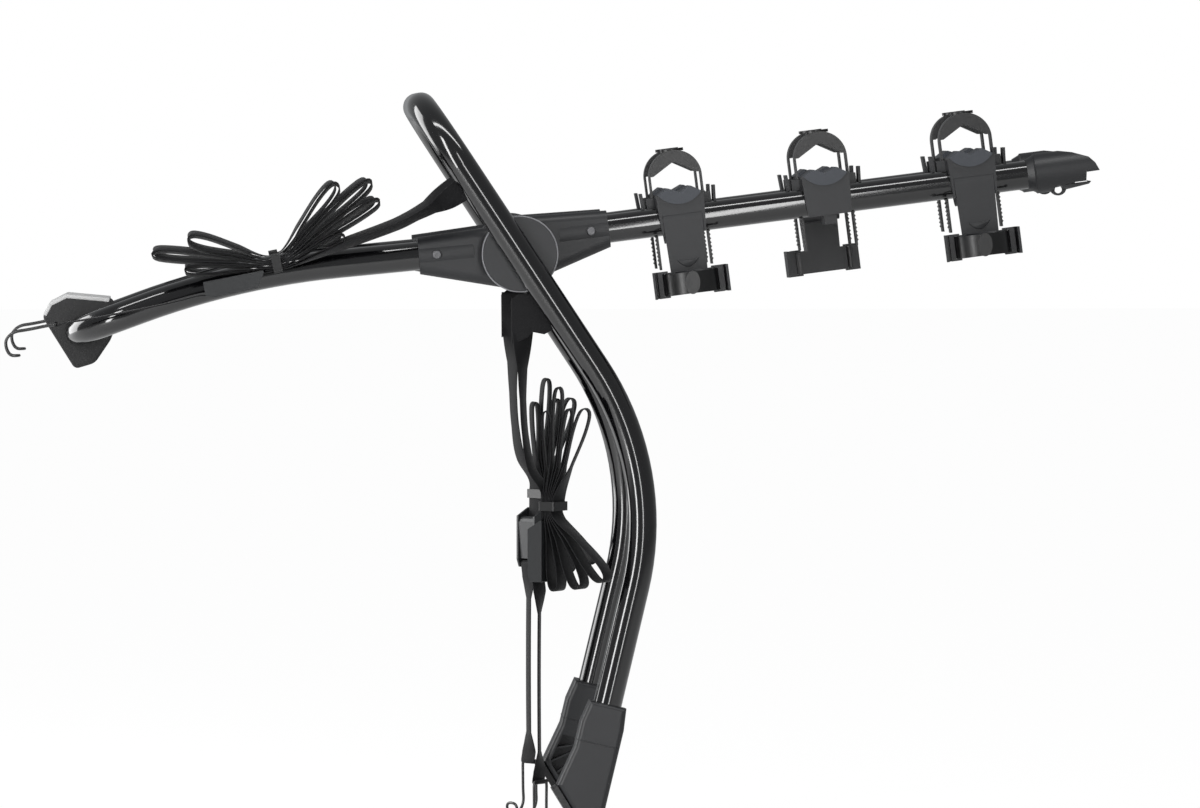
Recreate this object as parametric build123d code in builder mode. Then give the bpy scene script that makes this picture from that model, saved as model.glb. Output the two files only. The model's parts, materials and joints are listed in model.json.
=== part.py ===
import os
from math import cos, dist, radians, sin, tan

from build123d import *

os.makedirs("parts", exist_ok=True)

# Trunk mounted bike rack. +X points away from the vehicle, +Z up, and the origin is the middle of the hub axle.
# "near" is the -Y side and "far" the +Y side. Lengths are in millimetres.

# Tubes, shared by all three frames
tube_od = 31.75
tube_wall = 1.8
tube_r = tube_od / 2
socket_gap = 0.1
overrun = 2.0

# Main hoop: an inverted U whose legs pass outside the hubs and turn in to the bumper at a knee
hoop_half_width = 178.0
hoop_splay_angle = 2.0
hoop_lean_angle = 33.4
hoop_top_reach = 195.5
hoop_knee_reach = 285.6
hoop_knee_radius = 310.0
hoop_corner_radius = 80.0
shin_angle = 13.4
shin_length = 266.0

# Hub: a fixed core on each hoop leg, then the front knuckle, then the arm knuckle, all on one axle
hub_r = 42.5
axle_r = 8.0
axle_head_r = 13.0
axle_head_depth = 6.0
axle_play = 0.05
knuckle_gap = 0.3
arm_half_width = 82.0
arm_knuckle_width = 42.0
front_knuckle_width = 40.0
core_cradle_depth = 8.0
core_edge = 2.0
sleeve_wall = 4.6
sleeve_r = tube_r + sleeve_wall
sleeve_flat_width = 38.0
sleeve_edge = 11.0
mouth_edge = 1.2
cross_tube_r = 16.0
cross_tube_play = 0.3
washer_r = 18.0

# Arms: two tubes tilted up from the hub, their axis a little above the axle
arm_angle = 7.3
arm_rise = 14.0
arm_sleeve_end = 104.0
arm_tube_start = 48.0
arm_tube_end = 604.0
arm_flare_top_angle = 68.0
arm_flare_bottom_angle = -40.0

# Front frame: a low U that carries the two pads on the trunk lid
front_angle = 5.5
front_drop_angle = 20.2
front_sleeve_end = 111.0
front_tube_start = 50.0
front_bend_reach = 313.0
front_bend_radius = 890.0
front_bar_reach = 188.0
front_rise = 8.0
front_corner_radius = 55.0
front_flare_top_angle = 56.0
front_flare_bottom_angle = -50.0

# Sleeve screws
screw_r = 2.5
screw_head_r = 5.0
screw_head_height = 2.6
screw_setback = 20.0
screw_socket_r = 1.8
screw_socket_depth = 1.4
screw_depth = sleeve_wall + tube_wall + 2.0
screw_play = 0.1

# Feet at the lower ends of the hoop, with a rubber sole that faces the vehicle
foot_mouth_r = 20.7
foot_half_width = 23.0
foot_length = 163.0
foot_socket_depth = 60.0
foot_toe_drop = 104.5
foot_toe_reach = 39.8
foot_heel_reach = -23.4
foot_edge = 6.0
sole_heel_reach = -18.0
foot_flare_share = 0.028
foot_shoulder_share = 0.15
foot_waist_share = 0.33
foot_pocket = ((64.0, -18.5), (64.0, 20.0), (95.0, 26.5), (101.0, 24.0), (143.0, -18.5))
foot_rib_count = 5
foot_rib_first = 8.0
foot_rib_turn = 15.0
foot_rib_thickness = 1.8
foot_pocket_depth = 13.0
foot_pocket_wall = 2.6
sole_thickness = 7.0
sole_gap = 0.2
sole_edge = 1.5

# Trunk pads on the front crossbar
pad_length = 60.0
pad_gap = 18.0
pad_face_tilt = 32.0
pad_face_length = 68.0
pad_outline = (
    (26.7, -34.7),
    (12.0, -43.6),
    (-8.0, -42.0),
    (-47.5, -12.0),
    (-48.5, -2.0),
    (-27.0, 26.0),
    (4.0, 39.8),
    (26.7, 33.5),
)
pad_corner_r = 5.0
pad_edge = 4.0
pad_end_share = 0.9

# End caps with an open mouth
cap_collar_r = 17.0
cap_r = 22.3
cap_start = 576.6
cap_collar_length = 7.4
cap_shoulder_r = 20.4
cap_length = 80.0
cap_outline = (
    (-1.0, -25.0),
    (-1.0, 25.0),
    (30.0, 24.0),
    (52.0, 19.0),
    (69.6, 11.8),
    (76.0, 4.5),
    (80.0, -4.8),
    (65.2, -5.0),
    (64.1, -14.0),
    (69.5, -15.8),
    (67.0, -18.5),
    (24.0, -24.0),
)
cap_slit_length = 28.0
cap_slit_height = 1.4
cap_slit_middle = 54.0
cap_slit_drop = -15.4
cap_loop_r = 9.5
cap_loop_wire = 2.4
cap_loop_place = 33.0
cap_loop_drop = 18.0
cap_loop_width = 8.0

# Cradles: three stations on each arm
cradle_first = 187.0
cradle_pitch = 164.0
cradle_count = 3
cradle_half_length = 26.9
cradle_foot_half_length = 24.6
cradle_outer = 27.0
cradle_shoulder = 29.5
cradle_inner = 42.0
cradle_wall = 5.0
cradle_edge = 2.0
clip_width = 14.0
clip_thickness = 6.0
clip_drop = 20.2
saddle_half_length = 24.5
saddle_floor = 26.9
saddle_lip_floor = 17.5
saddle_lip_thickness = 2.5
saddle_hump = 36.6
saddle_hump_half = 13.0
saddle_dip = 31.0
saddle_gap = 0.15

# Ladder straps and the ratchets that hold them
strap_thickness = 2.0
strap_width = 24.0
strap_tooth = 1.2
strap_tooth_pitch = 4.5
strap_half_gap = 27.7
strap_spring = 48.0
strap_tail = 54.0
strap_wedge_corner = 2.5
strap_wedge_peak = 17.0
strap_wedge_half = 24.6
strap_side_gap = 1.2
tooth_rise_share = 0.3
tooth_fall_share = 0.75
crown_pad_length = 26.0
crown_pad_width = 16.0
crown_pad_height = 1.6
ratchet_low = 10.0
ratchet_play = 0.5
ratchet_high = 27.0
ratchet_slot = 4.0
ratchet_block = 5.2
ratchet_slit = 1.8
ratchet_post = 2.8
ratchet_post_height = 33.5
ratchet_post_flare = 1.6
ratchet_base = 4.0
ratchet_cheek = 2.4
ratchet_cheek_gap = 0.4

# Anti-sway legs that hang from a barrel round the arm
leg_barrel_r = 24.9
leg_barrel_half = 22.2
leg_play = 0.05
leg_bore_gap = 0.3
leg_thickness = 6.0
leg_end_half = 20.5
leg_length = 54.0
bracket_top = -57.0
bracket_height = 26.0
bracket_half = 26.9
bracket_near = 9.0
bracket_far = 24.0
bracket_hollow_r = 30.0
bracket_hollow_depth = 5.0
bracket_strap_spring = 28.0
bracket_strap_tail = 18.0
bracket_datum = -10.0
leg_wall_bottom = 10.0

# Webbing straps: a strap frame starts at the buckle's lead end, X along the strap and Y toward the hank
web_width = 25.0
web_thickness = 1.3
web_pitch = 1.95
web_bend_r = 8.0
web_loop_r = 2.2
web_loop_half = 3.2
gap_step = 1.5
gap_skip = 12.0
strap_half_width = 157.0
upper_buckle_end = (-350.0, -34.5)
upper_buckle_angle = 11.5
upper_anchor = (-52.0, 79.0)
upper_strap_end = (-78.0, 61.5)
upper_strap_via = (-134.0, 31.0)
upper_lead_length = 168.0
upper_out_loops = ((15.0, 72.0), (21.5, 124.0), (30.0, 128.0), (41.0, 98.0))
upper_back_loops = ((171.0, 92.0), (164.0, 128.0), (154.0, 90.0))
lower_half_width = 168.0
lower_buckle_end = (30.0, -363.0)
lower_turn = -35.0
lower_anchor = (42.0, -64.0)
lower_strap_drop = (268.0, -22.0)
lower_strap_via = (160.0, -6.0)
lower_lead_length = 222.0
lower_out_loops = ((-3.0, 95.0), (4.0, 122.0), (11.0, 100.0), (18.0, 105.0))
lower_back_loops = ((174.0, 84.0), (156.0, 88.0), (138.0, 96.0))
hank_place = 84.0
tie_half_length = 5.0
tie_thickness = 1.6
tie_gap = 0.4
tab_gap = 0.06
tab_overlap = 0.3
rivet_r = 5.5
rivet_height = 1.6
lead_play = 0.15

# Cam buckles
buckle_length = 68.0
buckle_width = 34.0
buckle_plate = 2.6
buckle_height = 18.4
buckle_cheek = 3.0
buckle_bar_place = 4.2
buckle_bar_height = 12.6
buckle_bar_r = 2.0
buckle_nose = 9.0
buckle_pin_r = 2.5
buckle_pin_height = 10.8
buckle_pin_place = 52.0
buckle_pin_play = 0.05
buckle_edge = 1.2
channel_gap = 0.12
lever_gap = 0.4
lever_r = 6.4
lever_thickness = 4.2
lever_length = 42.0

# Hooks of bent wire, as (along, up) points of one side
hook_wire_r = 1.6
hook_half_width = 12.4
hook_bend_r = 4.5
hook_play = 0.15
hook_profile = ((0.0, 0.0), (-44.0, 0.0), (-57.0, 7.0), (-56.0, 21.0), (-43.0, 25.0))


def polar(reach, angle):
    """A point in the side plane: reach from the axle, angle up from +X, as (x, z)."""
    return (reach * cos(radians(angle)), reach * sin(radians(angle)))


def arm_point(along, up=0.0):
    """A point on an arm's side plane, along the arm's axis and square to it, as (x, z)."""
    c, s = cos(radians(arm_angle)), sin(radians(arm_angle))
    rise = arm_rise + up
    return (along * c - rise * s, along * s + rise * c)


def save(piece, name):
    piece.part.label = name
    export_step(piece.part, f"parts/{name}.step")


def far_side(near):
    """The mirror image of a near piece, on the +Y side."""
    with BuildPart() as far:
        add(mirror(near.part, about=Plane.XZ))
    return far


def pair(near):
    """A near piece and its mirror image, as two solids of one node."""
    with BuildPart() as both:
        add(near.part)
        add(mirror(near.part, about=Plane.XZ))
    return both


def across(plane):
    """The mirror image of a plane, with its Z still pointing outwards."""
    o, x, z = plane.origin, plane.x_dir, plane.z_dir
    return Plane(origin=(o.X, -o.Y, o.Z), x_dir=(x.X, -x.Y, x.Z), z_dir=(z.X, -z.Y, z.Z))


# Main hoop
hoop_top = polar(hoop_top_reach, 90.0 + hoop_lean_angle)
hoop_knee = polar(hoop_knee_reach, hoop_lean_angle - 90.0)
shin_x, shin_z = -sin(radians(shin_angle)), -cos(radians(shin_angle))
hoop_foot = (hoop_knee[0] + shin_length * shin_x, hoop_knee[1] + shin_length * shin_z)


def hoop_half_at(z):
    """Half the distance between the leg centrelines at a height."""
    return hoop_half_width - z * tan(radians(hoop_splay_angle))


def hoop_point(xz, side):
    return Vector(xz[0], side * hoop_half_at(xz[1]), xz[1])


near, far = -1.0, 1.0
hoop_corners = [hoop_point(p, near) for p in (hoop_foot, hoop_knee, hoop_top)]
hoop_corners += [hoop_point(p, far) for p in (hoop_top, hoop_knee, hoop_foot)]
hoop_radii = [hoop_knee_radius, hoop_corner_radius, hoop_corner_radius, hoop_knee_radius]

with BuildPart() as main_hoop:
    with BuildLine() as hoop_path:
        FilletPolyline(*hoop_corners, radius=hoop_radii)
    with BuildSketch(Plane(origin=hoop_path.line @ 0, z_dir=hoop_path.line % 0)):
        Circle(tube_r)
        Circle(tube_r - tube_wall, mode=Mode.SUBTRACT)
    sweep()
save(main_hoop, "main_hoop")

# Hub stack along the axle, from the middle outwards
arm_knuckle_in = arm_half_width - arm_knuckle_width / 2
arm_knuckle_out = arm_half_width + arm_knuckle_width / 2
front_knuckle_in = arm_knuckle_out + knuckle_gap
front_knuckle_out = front_knuckle_in + front_knuckle_width
front_half_width = (front_knuckle_in + front_knuckle_out) / 2
core_in = front_knuckle_out + knuckle_gap
core_out = hoop_half_width - tube_r + core_cradle_depth
axle_half = core_in + axle_head_depth

# The core is a disc whose outer face is hollowed to seat the hoop leg
leg_plane = Plane(origin=hoop_point((0, 0), near), z_dir=hoop_point(hoop_knee, near) - hoop_point((0, 0), near))

with BuildPart() as hub_core_near:
    with BuildSketch(Plane.XZ.offset(core_in)):
        Circle(hub_r)
    extrude(amount=core_out - core_in)
    chamfer(hub_core_near.edges().filter_by(GeomType.CIRCLE), length=core_edge)
    with BuildSketch(leg_plane):
        Circle(tube_r + socket_gap)
    extrude(amount=2 * hub_r, both=True, mode=Mode.SUBTRACT)
    with BuildSketch(Plane.XZ.offset(core_in)):
        Circle(axle_head_r + socket_gap)
    extrude(amount=axle_head_depth + socket_gap, mode=Mode.SUBTRACT)
save(hub_core_near, "hub_core_near")
save(far_side(hub_core_near), "hub_core_far")

with BuildPart() as hub_axle:
    with BuildSketch(Plane.XZ):
        Circle(axle_r)
    extrude(amount=axle_half, both=True)
    for side in (near, far):
        with BuildSketch(Plane.XZ.offset(-side * core_in)):
            Circle(axle_head_r)
        extrude(amount=-side * axle_head_depth)
save(hub_axle, "hub_axle")


def knuckle(side_plane, width, rise, end, socket_start, flare_top, flare_bottom):
    """A hub ring with a sleeve: the ring turns on the axle and the sleeve holds a tube.
    side_plane has its origin on the axle, its X along the sleeve and its Z along the axle, outwards."""
    top = (hub_r * cos(radians(flare_top)), hub_r * sin(radians(flare_top)))
    bottom = (hub_r * cos(radians(flare_bottom)), hub_r * sin(radians(flare_bottom)))
    tube_plane = Plane(origin=side_plane.from_local_coords((0, rise, 0)), z_dir=side_plane.x_dir)
    with BuildPart() as ring:
        with BuildSketch(side_plane):
            Polygon(top, (0, 0), bottom, (end, rise - sleeve_r), (end, rise + sleeve_r), align=None)
        extrude(amount=sleeve_flat_width / 2, both=True)
        long_edges = ring.edges().filter_by(lambda e: e.length > end / 2 and abs(e.tangent_at(0).Y) < axle_play)
        fillet(long_edges, radius=sleeve_edge)
        with BuildSketch(side_plane):
            Circle(hub_r)
        extrude(amount=width / 2, both=True)
        with BuildSketch(tube_plane.offset(socket_start)):
            Circle(sleeve_r)
        extrude(amount=end - socket_start)
        with BuildSketch(tube_plane.offset(socket_start)):
            Circle(tube_r + socket_gap)
        extrude(amount=end, mode=Mode.SUBTRACT)
        with BuildSketch(side_plane):
            Circle(axle_r + axle_play)
        extrude(amount=width, both=True, mode=Mode.SUBTRACT)
    return ring


def cut_screw_hole(piece, plane, depth):
    """The same piece with a round hole from the plane inwards."""
    with BuildPart() as holed:
        add(piece.part)
        with BuildSketch(plane):
            Circle(screw_r + screw_play)
        extrude(amount=-depth, mode=Mode.SUBTRACT)
        with BuildSketch(plane):
            Circle(screw_head_r + screw_play)
        extrude(amount=depth, mode=Mode.SUBTRACT)
    return holed


def screw(plane):
    """A pan head screw whose head sits on the plane."""
    with BuildPart() as made:
        with BuildSketch(plane):
            Circle(screw_head_r)
        extrude(amount=screw_head_height)
        fillet(made.faces().sort_by(Axis(plane.origin, plane.z_dir))[-1].edges(), radius=screw_head_height / 2)
        with BuildSketch(plane.offset(screw_head_height)):
            RegularPolygon(screw_socket_r, side_count=6)
        extrude(amount=-screw_socket_depth, mode=Mode.SUBTRACT)
        with BuildSketch(plane):
            Circle(screw_r)
        extrude(amount=-screw_depth)
    return made


arm_x = Vector(cos(radians(arm_angle)), 0, sin(radians(arm_angle)))
front_x = Vector(-cos(radians(front_angle)), 0, -sin(radians(front_angle)))
arm_side = Plane(origin=(0, -arm_half_width, 0), x_dir=arm_x, z_dir=(0, -1, 0))
front_side = Plane(origin=(0, -front_half_width, 0), x_dir=front_x, z_dir=(0, -1, 0))
arm_axis_plane = Plane(origin=arm_side.from_local_coords((0, arm_rise, 0)), z_dir=arm_x)

# Screw seats on the outer side of each sleeve
arm_screw_plane = Plane(
    origin=arm_side.from_local_coords((arm_sleeve_end - screw_setback, arm_rise, sleeve_r)),
    x_dir=arm_x,
    z_dir=(0, -1, 0),
)
front_screw_plane = Plane(
    origin=front_side.from_local_coords((front_sleeve_end - screw_setback, -front_rise, sleeve_r)),
    x_dir=front_x,
    z_dir=(0, -1, 0),
)

# Arm knuckles, cross tube and arm tubes
arm_knuckle_blank = knuckle(
    arm_side,
    arm_knuckle_width,
    arm_rise,
    arm_sleeve_end,
    arm_tube_start,
    arm_flare_top_angle,
    arm_flare_bottom_angle,
)
arm_knuckle_near = cut_screw_hole(arm_knuckle_blank, arm_screw_plane, screw_depth)
save(arm_knuckle_near, "arm_knuckle_near")
save(far_side(arm_knuckle_near), "arm_knuckle_far")

with BuildPart() as arm_cross_tube:
    with BuildSketch(Plane.XZ):
        Circle(cross_tube_r)
        Circle(axle_r + cross_tube_play, mode=Mode.SUBTRACT)
    extrude(amount=arm_knuckle_in, both=True)
save(arm_cross_tube, "arm_cross_tube")

with BuildPart() as arm_near:
    with BuildSketch(arm_axis_plane.offset(arm_tube_start)):
        Circle(tube_r)
        Circle(tube_r - tube_wall, mode=Mode.SUBTRACT)
    extrude(amount=arm_tube_end - arm_tube_start)
    with BuildSketch(arm_screw_plane):
        Circle(screw_r + screw_play)
    extrude(amount=-screw_depth, mode=Mode.SUBTRACT)
save(arm_near, "arm_near")
save(far_side(arm_near), "arm_far")
save(pair(screw(arm_screw_plane)), "arm_screws")

# Front knuckles and the front hoop
front_knuckle_blank = knuckle(
    front_side,
    front_knuckle_width,
    -front_rise,
    front_sleeve_end,
    front_tube_start,
    front_flare_top_angle,
    front_flare_bottom_angle,
)
front_knuckle_near = cut_screw_hole(front_knuckle_blank, front_screw_plane, screw_depth)
save(front_knuckle_near, "front_knuckle_near")
save(far_side(front_knuckle_near), "front_knuckle_far")

front_lift = Vector(-sin(radians(front_angle)), 0, cos(radians(front_angle))) * front_rise
front_start = front_x * front_tube_start + front_lift
front_bend = front_x * front_bend_reach + front_lift
drop_x = Vector(-cos(radians(front_drop_angle)), 0, -sin(radians(front_drop_angle)))
front_bar = front_bend + drop_x * front_bar_reach
side_out = Vector(0, front_half_width, 0)
front_corners = [p - side_out for p in (front_start, front_bend, front_bar)]
front_corners += [p + side_out for p in (front_bar, front_bend, front_start)]
front_radii = [front_bend_radius, front_corner_radius, front_corner_radius, front_bend_radius]

with BuildPart() as front_hoop:
    with BuildLine() as front_path:
        FilletPolyline(*front_corners, radius=front_radii)
    with BuildSketch(Plane(origin=front_path.line @ 0, z_dir=front_path.line % 0)):
        Circle(tube_r)
        Circle(tube_r - tube_wall, mode=Mode.SUBTRACT)
    sweep()
    for seat in (front_screw_plane, across(front_screw_plane)):
        with BuildSketch(seat):
            Circle(screw_r + screw_play)
        extrude(amount=-screw_depth, mode=Mode.SUBTRACT)
save(front_hoop, "front_hoop")
save(pair(screw(front_screw_plane)), "front_screws")

# Feet: the foot frame has X down the leg, Y toward the vehicle and Z inwards
shin_dir = (hoop_point(hoop_foot, near) - hoop_point(hoop_knee, near)).normalized()
foot_front = Vector(-cos(radians(shin_angle)), 0, sin(radians(shin_angle)))
foot_side = Plane(origin=hoop_point(hoop_foot, near), x_dir=shin_dir, z_dir=shin_dir.cross(foot_front))
foot_axis = Plane(origin=foot_side.origin, z_dir=shin_dir)
sole_run = Vector(foot_length - foot_toe_drop, sole_heel_reach - foot_toe_reach, 0).normalized()
sole_in = Vector(sole_run.Y, -sole_run.X, 0)
sole_toe = Vector(foot_toe_drop, foot_toe_reach, 0)
sole_heel = Vector(foot_length, sole_heel_reach, 0)
body_toe = sole_toe + sole_in * (sole_thickness + sole_gap)
body_heel = sole_heel + sole_in * (sole_thickness + sole_gap)
foot_shoulder = (foot_mouth_r + foot_length * foot_flare_share, foot_length * foot_shoulder_share)
foot_waist = (foot_length * foot_waist_share, foot_mouth_r + foot_length * foot_flare_share)
foot_back = (foot_length * foot_shoulder_share, foot_heel_reach)

with BuildPart() as foot_near:
    with BuildSketch(foot_side):
        Polygon(
            (0, foot_mouth_r),
            (foot_shoulder[1], foot_shoulder[0]),
            foot_waist,
            (body_toe.X, body_toe.Y),
            (body_heel.X, body_heel.Y),
            foot_back,
            (0, -foot_mouth_r),
            align=None,
        )
    extrude(amount=foot_half_width, both=True)
    side_faces = foot_near.faces().sort_by(Axis(foot_side.origin, foot_side.z_dir))
    fillet(side_faces[0].edges() + side_faces[-1].edges(), radius=foot_edge)
    with BuildSketch(foot_side.offset(foot_half_width)):
        Polygon(*foot_pocket, align=None)
    extrude(amount=-foot_pocket_depth, mode=Mode.SUBTRACT)
    with BuildSketch(foot_side.offset(foot_half_width - foot_pocket_depth)):
        for index in range(foot_rib_count):
            rib_angle = foot_rib_first + index * foot_rib_turn
            with Locations(Location(foot_pocket[0] + (0,), rib_angle)):
                Rectangle(2 * foot_length, foot_rib_thickness)
        Polygon(*foot_pocket, align=None, mode=Mode.INTERSECT)
    extrude(amount=foot_pocket_depth - foot_pocket_wall)
    with BuildSketch(foot_axis):
        Circle(tube_r + socket_gap)
    extrude(amount=foot_socket_depth, mode=Mode.SUBTRACT)
save(foot_near, "foot_near")
save(far_side(foot_near), "foot_far")

with BuildPart() as sole:
    with BuildSketch(foot_side):
        sole_inner = [sole_heel + sole_in * sole_thickness, sole_toe + sole_in * sole_thickness]
        Polygon(*[(p.X, p.Y) for p in [sole_toe, sole_heel] + sole_inner], align=None)
    extrude(amount=foot_half_width - sole_edge, both=True)
    fillet(sole.faces().sort_by(Axis(foot_side.origin, foot_front))[-1].edges(), radius=sole_edge)
save(pair(sole), "foot_soles")

# Trunk pads: the pad frame has X square to the contact face, toward the vehicle, and Y down along it
pad_x = Vector(-cos(radians(pad_face_tilt)), 0, -sin(radians(pad_face_tilt)))
pad_side = Plane(origin=front_bar - Vector(0, pad_gap / 2, 0), x_dir=pad_x, z_dir=(0, -1, 0))
with BuildPart() as pad:
    with BuildSketch(pad_side):
        Polygon(*pad_outline, align=None)
        fillet(vertices(), radius=pad_corner_r)
        Circle(tube_r + socket_gap, mode=Mode.SUBTRACT)
    extrude(amount=pad_length)
    outer_edges = pad.edges().filter_by(lambda e: e.length < pad_face_length + pad_length)
    ends = [f for f in pad.faces().sort_by(Axis.Y) if abs(f.normal_at().Y) > pad_end_share]
    fillet([e for f in ends for e in f.outer_wire().edges()], radius=pad_edge)
save(pair(pad), "trunk_pads")

# End caps: the cap frame has X along the arm and Y up
cap_side = Plane(
    origin=arm_side.from_local_coords((cap_start, arm_rise, 0)), x_dir=arm_x, z_dir=(0, -1, 0)
)
cap_axis = Plane(origin=cap_side.origin, z_dir=arm_x)
cap_eye = (cap_loop_place, -cap_loop_drop)

with BuildPart() as end_cap_near:
    with BuildSketch(cap_side):
        Polygon(
            (0, 0),
            (0, cap_collar_r),
            (cap_collar_length, cap_shoulder_r),
            (cap_collar_length + cap_r - cap_shoulder_r, cap_r),
            (cap_length, cap_r),
            (cap_length, 0),
            align=None,
        )
    revolve(axis=Axis(cap_side.origin, cap_side.x_dir))
    with BuildSketch(cap_side):
        Polygon(*cap_outline, align=None)
    extrude(amount=2 * cap_r, both=True, mode=Mode.INTERSECT)
    with BuildSketch(cap_side):
        with Locations(cap_eye):
            Circle(cap_loop_r)
    extrude(amount=cap_loop_width / 2, both=True)
    with BuildSketch(cap_side):
        with Locations((cap_loop_place, -cap_loop_drop - cap_loop_wire)):
            Circle(cap_loop_r - 2 * cap_loop_wire)
        with Locations((cap_slit_middle, cap_slit_drop)):
            Rectangle(cap_slit_length, cap_slit_height)
    extrude(amount=2 * cap_r, both=True, mode=Mode.SUBTRACT)
    with BuildSketch(cap_axis):
        Circle(tube_r + socket_gap)
    extrude(amount=arm_tube_end - cap_start + socket_gap, mode=Mode.SUBTRACT)
save(end_cap_near, "end_cap_near")
save(far_side(end_cap_near), "end_cap_far")


def station_plane(index):
    """The frame of a near cradle: X along the arm, Y up, Z outwards, on the arm's axis."""
    return Plane(
        origin=arm_side.from_local_coords((cradle_first + index * cradle_pitch, arm_rise, 0)),
        x_dir=arm_x,
        z_dir=(0, -1, 0),
    )


strap_in = -(cradle_inner - strap_side_gap)
strap_mid = strap_in + strap_width / 2
cheek_half = strap_width / 2 + ratchet_cheek_gap + ratchet_cheek
slot_half = strap_width / 2 + ratchet_cheek_gap


def ratchets(plane, low, high, root, height):
    """A ratchet for each tail of a strap: a block beside the strap and a springy outer post.
    plane has X along the two ratchets and Y the way the strap leads; it sits in the middle of the strap's width."""
    slot_in = strap_half_gap - ratchet_play
    slot_out = slot_in + ratchet_slot
    block_out = slot_out + ratchet_block
    post_in = block_out + ratchet_slit
    post_out = post_in + ratchet_post
    with BuildPart() as blocks:
        with BuildSketch(plane):
            for hand in (1, -1):
                Polygon(
                    (hand * root, low),
                    (hand * post_out, low),
                    (hand * (post_out + ratchet_post_flare), height),
                    (hand * (post_in + ratchet_post_flare), height),
                    (hand * post_in, low + ratchet_base),
                    (hand * block_out, low + ratchet_base),
                    (hand * block_out, high),
                    (hand * root, high),
                    align=None,
                )
        extrude(amount=cheek_half, both=True)
    return blocks


def ratchet_slots(plane, low, high):
    """The two slots that the strap's tails pass through."""
    middle = strap_half_gap - ratchet_play + ratchet_slot / 2
    with BuildPart() as slots:
        with BuildSketch(plane):
            with Locations((middle, (low + high) / 2), (-middle, (low + high) / 2)):
                Rectangle(ratchet_slot, 2 * (high - low))
        extrude(amount=slot_half, both=True)
    return slots


def insert_face(floor, gap):
    """The side face of the insert: a dip between two humps over a smile-shaped under side."""
    end = saddle_half_length + gap
    with BuildSketch() as face:
        with BuildLine():
            Polyline(
                (end, cradle_shoulder),
                (saddle_hump_half, saddle_hump),
                (0, saddle_dip),
                (-saddle_hump_half, saddle_hump),
                (-end, cradle_shoulder),
            )
            ThreePointArc((-end, cradle_shoulder), (0, floor - gap), (end, cradle_shoulder))
        make_face()
    return face.sketch


def cradle(plane, with_leg):
    """A cradle clamped over the arm, with its ratchets on the inner side."""
    ratchet_plane = plane.offset(strap_mid)
    blocks = ratchets(ratchet_plane, ratchet_low, ratchet_high, cradle_foot_half_length, ratchet_post_height)
    slots = ratchet_slots(ratchet_plane, ratchet_low, ratchet_high)
    with BuildPart() as body:
        with BuildSketch(plane.offset(cradle_outer - saddle_lip_thickness - saddle_gap)):
            Polygon(
                (-cradle_half_length, cradle_shoulder),
                (cradle_half_length, cradle_shoulder),
                (cradle_foot_half_length, -tube_r),
                (-cradle_foot_half_length, -tube_r),
                align=None,
            )
        extrude(amount=-(cradle_outer - saddle_lip_thickness - saddle_gap + tube_r + cradle_wall))
        fillet(body.edges().filter_by(Axis.Y), radius=cradle_edge)
        with BuildSketch(plane.offset(-tube_r)):
            Polygon(
                (-cradle_half_length, cradle_shoulder),
                (cradle_half_length, cradle_shoulder),
                (cradle_half_length, ratchet_low),
                (-cradle_half_length, ratchet_low),
                align=None,
            )
        extrude(amount=tube_r - cradle_inner)
        add(blocks.part)
        add(slots.part, mode=Mode.SUBTRACT)
        with BuildSketch(plane):
            add(insert_face(saddle_floor, saddle_gap))
        extrude(amount=2 * cradle_inner, both=True, mode=Mode.SUBTRACT)
        with BuildSketch(plane):
            with Locations((0, -tube_r)):
                Rectangle(4 * tube_r, 2 * tube_r)
        extrude(amount=tube_r + socket_gap, both=True, mode=Mode.SUBTRACT)
        if not with_leg:
            with BuildSketch(plane):
                with Locations((0, -clip_drop)):
                    Rectangle(clip_width, 2 * clip_thickness)
            extrude(amount=tube_r + cradle_wall, both=True)
        tube_plane = Plane(origin=plane.origin, z_dir=plane.x_dir)
        with BuildSketch(tube_plane):
            Circle(tube_r + socket_gap)
        extrude(amount=2 * cradle_half_length, both=True, mode=Mode.SUBTRACT)
        if with_leg:
            with BuildSketch(tube_plane):
                Circle(leg_barrel_r + leg_bore_gap)
            extrude(amount=leg_barrel_half + leg_bore_gap, both=True, mode=Mode.SUBTRACT)
            with BuildSketch(plane.offset(cradle_outer)):
                with Locations((0, -tube_r)):
                    Rectangle(2 * (leg_barrel_half + leg_bore_gap), 2 * tube_r + 2 * ratchet_base)
            extrude(amount=-cradle_outer - tube_r, mode=Mode.SUBTRACT)
    return body


def saddle(plane):
    """The soft insert of a cradle, with a lip that hangs over the outer face."""
    with BuildPart() as soft:
        with BuildSketch(plane.offset(cradle_outer)):
            add(insert_face(saddle_floor, 0))
        extrude(amount=-(cradle_outer + cradle_inner))
        with BuildSketch(plane.offset(cradle_outer)):
            add(insert_face(saddle_lip_floor, 0))
        extrude(amount=-saddle_lip_thickness)
        fillet(soft.edges().filter_by(Axis.Y).sort_by(Axis(plane.origin, plane.y_dir))[-2:], radius=cradle_edge)
    return soft


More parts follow.
